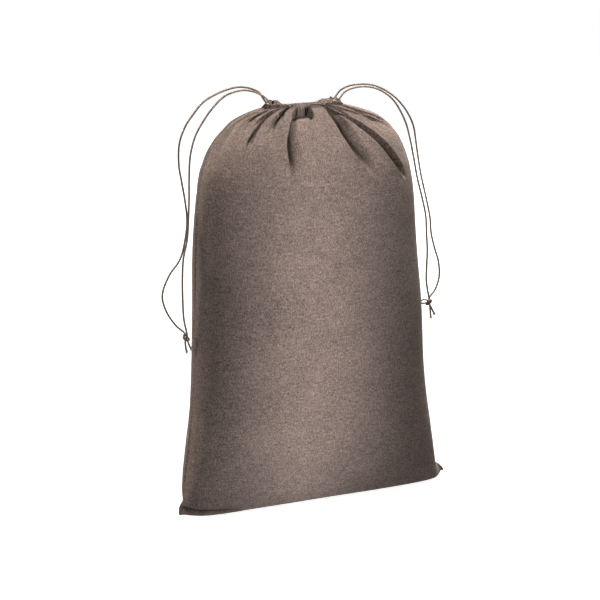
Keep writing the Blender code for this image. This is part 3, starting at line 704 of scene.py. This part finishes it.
backFolds = {
    "outer": {"side": -1, "under": 0.2, "rows": (
        (0, -0.74, 1, 0.2, 0.8, 0.5, 1.5), (8, -0.75, 3.2, 0.4, 1.2, 1, 3),
        (18, -0.79, 3.6, 0.6, 1.6, 1.4, 5), (30, -0.86, 0, 0, 3, 1, 6))},
    "broad": {"side": -1, "under": 0.8, "rows": (
        (0, -0.50, 1.5, 0.2, 0.8, 0.8, 2), (8, -0.49, 4.5, 0.4, 1, 1.6, 5),
        (20, -0.51, 7.6, 0.8, 1.3, 3, 12), (38, -0.55, 7.4, 1, 1.4, 3.6, 14),
        (54, -0.60, 3.6, 1, 1.8, 2.6, 11), (68, -0.63, 0, 0, 2.5, 1, 8))},
    "middle": {"side": 1, "under": 0.5, "rows": (
        (0, -0.24, 1.2, 0.1, 0.8, 0.6, 1.5), (10, -0.235, 4.2, 0.5, 1.1, 1.2, 5),
        (24, -0.24, 6, 0.8, 1.3, 2.2, 9), (40, -0.265, 3.4, 0.9, 1.8, 1.6, 9),
        (54, -0.28, 0, 0.3, 3, 1, 9))},
    "small": {"side": -1, "under": 0.3, "rows": (
        (0, 0.04, 1, 0.1, 0.8, 0.5, 1.5), (8, 0.03, 3, 0.4, 1.1, 0.8, 3),
        (16, 0.02, 3, 0.5, 1.5, 0.8, 5), (27, 0.05, 0, 0, 3, 0.8, 6))},
    "second": {"side": 1, "under": 0.8, "rows": (
        (0, 0.26, 1.4, 0.2, 0.8, 0.8, 2), (9, 0.25, 4.8, 0.5, 1, 1.6, 4),
        (24, 0.24, 7, 0.8, 1.3, 3, 10), (42, 0.28, 4.6, 1, 1.6, 2.4, 11),
        (56, 0.31, 0, 0.4, 2.5, 1, 8))},
    "third": {"side": 1, "under": 0.5, "rows": (
        (0, 0.54, 1.2, 0.1, 0.8, 0.5, 1.5), (9, 0.55, 4, 0.4, 1.1, 1.4, 3),
        (22, 0.57, 5.2, 0.7, 1.4, 2.4, 4), (34, 0.60, 2.4, 0.6, 2, 1.4, 5),
        (44, 0.63, 0, 0, 3, 1, 6))},
    "last": {"side": 1, "under": 0.3, "rows": (
        (0, 0.77, 1, 0.1, 0.8, 0.5, 1.5), (8, 0.79, 3, 0.4, 1.2, 1, 3),
        (16, 0.82, 2.6, 0.4, 1.6, 1, 5), (26, 0.86, 0, 0, 3, 0.8, 6))},
}
for folds in (frontFolds, backFolds):
    for name, fold in folds.items():
        folds[name] = {**plainFold, **fold}
# dips in the row of crests along the stitch line: at left right share, as shares of the half width
frontDips = ((-0.80, 0.02, 0.03, 0.5), (-0.68, 0.02, 0.025, 0.55), (-0.49, 0.022, 0.035, 0.85),
             (0.355, 0.02, 0.03, 0.5), (0.485, 0.02, 0.022, 0.4), (0.70, 0.02, 0.03, 0.5))
backDips = ((-0.74, 0.03, 0.04, 0.9), (-0.50, 0.06, 0.04, 0.95), (-0.24, 0.03, 0.06, 0.95),
            (0.04, 0.05, 0.03, 0.9), (0.26, 0.03, 0.06, 0.95), (0.54, 0.03, 0.05, 0.9),
            (0.77, 0.03, 0.04, 0.9))
# places where the casing is drawn in behind the cloth, set back and given painted shade: at width depth
frontRecesses = ((0, 0.06, 1.3), (-0.3, 0.025, 2.4), (-0.49, 0.02, 1.6), (-0.68, 0.02, 1.4),
                 (0.36, 0.02, 1.6), (0.7, 0.02, 1.4))
backRecesses = ((-0.5, 0.02, 1.6), (-0.24, 0.03, 2), (0.26, 0.03, 2), (0.54, 0.02, 1.6))
# soft lumps in the casing near the cords' mouths: at width rise
frontPuffs = ((-0.84, 0.13, 2.6), (0.62, 0.15, 2.8))
backPuffs = ((0.86, 0.1, 1.6), (-0.66, 0.14, 1.8))
# where the cloth stays down and the casing shows: middle, half width, mm down; and the crests' share
frontWindow = (-0.12, 0.185, 14.5, 1.0)
backWindow = (0.8, 0.04, 3.0, 0.78)
panels = {
    "front": {"side": 1, "folds": frontFolds, "dips": frontDips, "window": frontWindow,
              "puffs": frontPuffs, "recesses": frontRecesses, "cloth": frontCloth, "seed": 11},
    "back": {"side": -1, "folds": backFolds, "dips": backDips, "window": backWindow,
             "puffs": backPuffs, "recesses": backRecesses, "cloth": backCloth, "seed": 23},
}


def rowPlaces(total, s):
    # mm below the stitch line, close together in the folds and at the bottom
    places = [0.0]
    while places[-1] < total:
        down = places[-1]
        if down < s["neckEnd"]:
            step = s["neckStep"]
        elif down < s["foldsEnd"]:
            step = s["foldStep"]
        elif down < s["bottomStart"]:
            step = min(step * s["grow"], s["widest"])
        else:
            step = max(step * s["shrink"], s["bottomStep"])
        places.append(down + step)
    places[-1] = total
    return np.array(places)


def foldPlaces(folds, down):
    # each fold's numbers at each row: at depth ridge steep floor gentle
    return {name: smoothRows(fold["rows"], down) for name, fold in folds.items()}


def columnPlaces(folds, places, halfArc, down, s):
    # shares across, row by row; columns crowd in at each fold's edge and at a deep one's far rim
    lines = [(np.full(len(down), -1.0), 1.0)]
    for name in sorted(folds, key=lambda name: folds[name]["rows"][-1][1]):
        at, _, _, steep, floor, gentle = places[name].T
        lines.append((at, 1.0 if folds[name]["side"] < 0 else folds[name]["columns"]))
        if "rim" in folds[name]:
            lines.append((at + (steep + floor + gentle) / halfArc, folds[name]["rim"]))
    edges = np.stack([at for at, _ in lines] + [np.full(len(down), 1.0)], axis=1)
    edges = np.maximum.accumulate(edges, axis=1)
    widest = np.diff(edges[(down > 15) & (down < 60)], axis=1).max(axis=0)
    extra = np.array([share for _, share in lines])
    spans = np.maximum(s["fewest"], np.round(widest * extra / (widest * extra).sum() * s["columns"]))
    spans = spans.astype(int)
    shares = []
    for i, span in enumerate(spans):
        t = np.linspace(0.0, 1.0, span, endpoint=False)
        t = t - s["crowding"] * np.sin(2 * math.pi * t) / (2 * math.pi)
        shares.append(edges[:, i:i + 1] + (edges[:, i + 1:i + 2] - edges[:, i:i + 1]) * t)
    shares.append(edges[:, -1:])
    return np.concatenate(shares, axis=1)


def sectionPoints(row, across, s, crest, side):
    halfDepth, height, halfWidth, centreX, squareness, sideRise, ear, flatten, crestOut, crestUp = row
    angle = np.linspace(-math.pi / 2, math.pi / 2, s["arcSteps"])
    power = 2.0 / squareness
    x = halfWidth * np.sign(np.sin(angle)) * np.abs(np.sin(angle)) ** power
    depth = halfDepth * np.abs(np.cos(angle)) ** power
    length = np.concatenate([[0.0], np.cumsum(np.hypot(np.diff(x), np.diff(depth)))])
    share = 2.0 * length / length[-1] - 1.0
    x, depth = np.interp(across, share, x), np.interp(across, share, depth)
    x = x + (halfWidth * across - x) * flatten
    depth = depth + (s["neckDepth"] - depth) * flatten
    depth = depth + crest * crestOut
    rise = crest * crestUp + sideRise * np.abs(x / halfWidth) ** 3
    corner = np.clip((np.abs(across) - s["earStart"]) / (1.0 - s["earStart"]), 0.0, 1.0) ** 2
    flat = corner * min(1.0, ear / s["earFull"])
    x = x + np.sign(across) * corner * ear
    depth = depth * (1.0 - s["earFlat"] * flat)
    worldX = centreX + side * x
    lift, forward = (np.where(worldX < 0.0, s[name]["left"], s[name]["right"])
                     for name in ("earLift", "earForward"))
    low = corner * max(0.0, 1.0 - height / s["earTop"])
    y = -side * (depth + s["seamGap"]) - low * forward
    return np.stack([worldX, y, height + rise + low * lift], axis=-1), length[-1] / 2


def crestShare(across, down, dips, window):
    share = 1.0 - np.abs(across) ** 6
    for at, left, right, deep in dips:
        offset = across - at
        share = share * (1.0 - deep * bell((offset / np.where(offset < 0.0, left, right)) ** 2))
    middle, half, reach, scale = window
    inside = np.abs((across - middle) / half) ** 3 + (down[:, None] / reach) ** 3
    edge, soft = 0.7, 0.45
    return share * scale * softStep((inside - edge) / soft)


def foldOffsets(across, halfArc, folds, places, s):
    # out of the surface, sideways along it and how much painted shade, for all folds together
    out, aside, hollow = (np.zeros_like(across) for _ in range(3))
    for name, fold in folds.items():
        at, depth, ridge, steep, floor, gentle = places[name].T[:, :, None]
        share = depth / max(0.1, depth.max())
        x = fold["side"] * (across - at) * halfArc[:, None]
        drop = softStep(x / steep)
        over = softStep((x - steep) / floor)
        back = 1.0 - softStep((x - steep - floor) / gentle)
        out -= depth * drop * back
        out += ridge * np.where(x < 0.0, bell(x / s["ridgeWide"]), 1.0 - drop)
        out += fold["lip"] * share * bell((x - steep - floor - gentle) / s["lipWide"])
        aside += fold["side"] * share * (fold["far"] * over * back - fold["under"] * drop * (1.0 - over))
        # painted shade: darkens the colour in each fold's hollow next to its edge, fading out across the
        # floor
        fading = 1.0 - softStep((x - steep - fold["shade"] * floor) / fold["fade"])
        shade = softStep(x / steep + s["shadeStart"]) * fading ** s["shadePower"]
        hollow = np.maximum(hollow, shade * np.minimum(1.0, depth / fold["dark"]))
    return out, aside, hollow


def gridNormals(grid):
    return unit(np.cross(np.gradient(grid, axis=1), np.gradient(grid, axis=0)))


def panelGrid(own, s):
    side, folds, dips, window, seed = (own[key] for key in ("side", "folds", "dips", "window", "seed"))
    table = np.array(sections)
    steps = np.hypot(np.diff(table[:, 0]), np.diff(table[:, 1]))
    meridian = np.concatenate([[0.0], np.cumsum(steps)])
    down = rowPlaces(meridian[-1], s)
    places = foldPlaces(folds, down)
    rows = smoothRows(np.column_stack([meridian, table]), meridian[-1] - down)
    halfArc = np.array([sectionPoints(row, np.zeros(1), s, np.zeros(1), side)[1] for row in rows])
    across = columnPlaces(folds, places, halfArc, down, s)
    crest = crestShare(across, down, dips, window)
    plain = 1.0 - np.abs(across) ** 6
    grid, smooth = (np.array([sectionPoints(row, across[i], s, share[i], side)[0]
                              for i, row in enumerate(rows)]) for share in (crest, plain))
    out, aside, hollow = foldOffsets(across, halfArc, folds, places, s)
    toSeam = (1.0 - np.abs(across)) * halfArc[:, None]
    fromNeck = down[:, None]
    fromBottom = meridian[-1] - fromNeck
    # small radial creases below the neck, slow hollows lower down, puckers along the side seams
    c = s["creases"]
    crease = c["deep"] * unevenness(across * c["across"] + 40, fromNeck / c["tall"], seed)
    out += crease * bell(fromNeck / c["reach"]) * softStep(fromNeck / c["start"])
    c = s["hollows"]
    slow = c["deep"] * unevenness(across * c["across"] + 30, fromNeck / c["tall"], seed + 1)
    out += slow * softStep(fromNeck / c["start"]) * softStep(fromBottom / c["start"])
    ripple = unevenness(np.sign(across) * 3 + 20, fromNeck / s["puckerStep"] * 2, seed + 2)
    body = softStep(fromNeck / 25) * softStep((fromBottom - 20) / 30)
    out += s["pucker"] * ripple * np.exp(-toSeam / s["puckerReach"]) * body
    out -= s["grooveDeep"] * bell(toSeam / s["grooveWide"]) * softStep(fromNeck / 8)
    if side > 0:
        # the front's left corner
        c = s["hemCrease"]
        reach = softStep((c["end"] - across) / c["fade"]) * softStep((1.0 + across) / c["seam"])
        line = fromBottom - c["height"] + c["slope"] * (1.0 + across)
        out -= c["deep"] * bell(line / c["wide"]) * reach
        out += c["swell"] * c["deep"] * bell((line + c["swellLow"]) / c["swellWide"]) * reach
        # painted shade along the crease above the hem
        hollow = np.maximum(hollow, c["dark"] * bell((line - c["paintedShadeUp"]) / c["wide"]) * reach)
    out[0] = 0.0
    aside[0] = 0.0
    normal = gridNormals(smooth)
    ahead = np.full_like(across, -side)
    outward = np.stack([np.sign(across) * side * 0.6, ahead, np.zeros_like(across)], -1)
    normal = normal * np.where((normal * outward).sum(-1).mean() < 0, -1.0, 1.0)
    sideways = unit(np.gradient(smooth, axis=1))
    grid = grid + normal * out[..., None] + sideways * aside[..., None]
    grid[..., 2] = np.maximum(grid[..., 2], 0.0)
    return grid, across, down, crest[0], hollow


def casingGrid(own, across, crest, s):
    side = own["side"]
    neck = sections[-1]
    angles = np.concatenate([np.linspace(-80, 150, 30), np.linspace(165, 230, 6)])
    shape = smoothRows(((-80, 5.4, 11.3),) + casingRows, angles)
    wobble = s["wobble"] * unevenness(across * s["wobbles"] + 40, 0.0, own["seed"] + 5)
    phase = math.pi / 2 * s["beads"] * (across + 1.0) + s["wobbleShift"] * wobble
    tall = s["casingTall"] + (s["mouthTall"] - s["casingTall"]) * across**4
    drawn = 1.0 - s["mouthNarrow"] * across**6
    height = s["casingHeight"][side] + s["mouthRise"] * np.abs(across) ** 4
    swell = sum(rise * bell((across - at) / wide) for at, wide, rise in own["puffs"])
    recess = sum(deep * bell(((across - at) / wide) ** 2) for at, wide, deep in own["recesses"])
    rows, dark = [], []
    for angle, (crestOut, crestUp) in zip(angles, shape):
        turn = math.radians(angle)
        upper = softStep((angle + 90) / 90)
        gather = np.abs(np.sin(phase + s["beadLean"] * turn))
        bead = s["beadDepth"] * (gather - s["beadMiddle"])
        bead = bead * (s["beadLow"] + (1.0 - s["beadLow"]) * upper) * (s["beadEven"] + wobble)
        front = 1.0 - softStep((angle - 5) / 45)
        slant = -s["mouthSlant"] * math.sin(turn) * np.sign(across) * np.abs(across) ** 6
        x = neck[3] + side * (neck[2] * across + slant)
        reach = bead + swell * softStep((angle + 30) / 60) * (1.0 - softStep((angle - 120) / 60))
        depth = s["neckDepth"] + (s["casingDeep"] * drawn + reach) * math.cos(turn) + crest * crestOut
        depth = depth - recess * front
        z = height + (tall + reach) * math.sin(turn) + crest * crestUp
        rows.append(np.stack([x, -side * depth, z], axis=-1))
        # painted shade: darker between the gathered beads and in the recesses
        between = s["beadPaintedShade"] * upper * (1.0 - gather) ** 3
        dark.append(np.minimum(1.0, recess / s["recessFullPaintedShade"] * front + between))
    return np.array(rows), np.array(dark)


def seamAllowance(grid, side, s):
    # the cloth turned in behind each side seam, as strips of points beside the panel's own
    strips = []
    for end in (0, -1):
        edge = grid[:, end]
        inward = 1.0 if edge[:, 0].mean() < grid[:, :, 0].mean() else -1.0
        for reach, bend in s["turnedIn"]:
            strip = edge.copy()
            strip[:, 0] += inward * reach * np.minimum(1.0, np.linspace(0.1, 12.0, len(edge))[::-1])
            plane = -side * s["seamGap"]
            strip[:, 1] = plane + (edge[:, 1] - plane) * (1.0 - reach / s["earWide"]) ** 2 + bend
            strips.append(strip)
    return strips


def makePanel(name, own, s):
    body, across, down, crest, hollow = panelGrid(own, s)
    casing, casingPaintedShade = casingGrid(own, across[0], crest, s)
    grid = np.concatenate([body[::-1], casing])
    rows, columns = grid.shape[:2]
    number = np.arange(rows * columns).reshape(rows, columns)
    faces = np.stack([number[:-1, :-1], number[:-1, 1:], number[1:, 1:], number[1:, :-1]], axis=-1)
    faces = faces.reshape(-1, 4).tolist()
    strips = seamAllowance(body[::-1], own["side"], s)
    count = len(s["turnedIn"])
    below = len(body)
    start = rows * columns
    for half, edge in ((0, number[:below, 0]), (1, number[:below, -1])):
        lines = [edge] + [start + (half * count + i) * below + np.arange(below) for i in range(count)]
        for outer, inner in zip(lines, lines[1:]):
            quads = np.stack([inner[:-1], outer[:-1], outer[1:], inner[1:]], axis=-1)
            faces += (quads if half == 0 else quads[:, ::-1]).tolist()
    points = np.vstack([grid.reshape(-1, 3)] + strips)
    piece = makePiece(name + "_panel_cloth", points * mm, faces, (own["cloth"],))
    # the weave runs up and down the bag and closes up towards the gathers
    inCasing = np.repeat(across[:1], len(casing), axis=0)
    width = np.concatenate([across[::-1], inCasing]) * s["flatHalf"]
    steps = np.linalg.norm(np.diff(casing, axis=0), axis=-1).mean(axis=1)
    height = np.concatenate([-down[::-1], np.cumsum(np.concatenate([[0.3], steps]))])
    height = np.repeat(height[:, None], columns, axis=1)
    layer = piece.data.uv_layers.new(name="weave")
    loops = np.zeros(len(piece.data.loops), dtype=int)
    piece.data.loops.foreach_get("vertex_index", loops)
    turnedIn = np.repeat([[reach] for reach, _ in s["turnedIn"]] * 2, below, axis=1)
    width = np.concatenate([width.ravel(), turnedIn.ravel()])
    height = np.concatenate([height.ravel()] + [height[:below, 0]] * (2 * count))
    places = np.stack([width[loops], height[loops]], axis=1) * mm
    layer.data.foreach_set("uv", places.ravel())
    # painted shade for each point: the panel's folds and casing, then an even dark on the turned-in seam
    # cloth
    deep = np.concatenate([hollow[::-1], casingPaintedShade])
    deep = np.concatenate([deep.ravel(), np.full(below * 2 * count, s["turnedInPaintedShade"])])
    piece.data.attributes.new("hollow", "FLOAT", "POINT").data.foreach_set("value", deep)
    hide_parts(name + "_panel")
    name + " cloth"
    return piece


for name, own in panels.items():
    panel = makePanel(name, own, bag)
print("panels done")
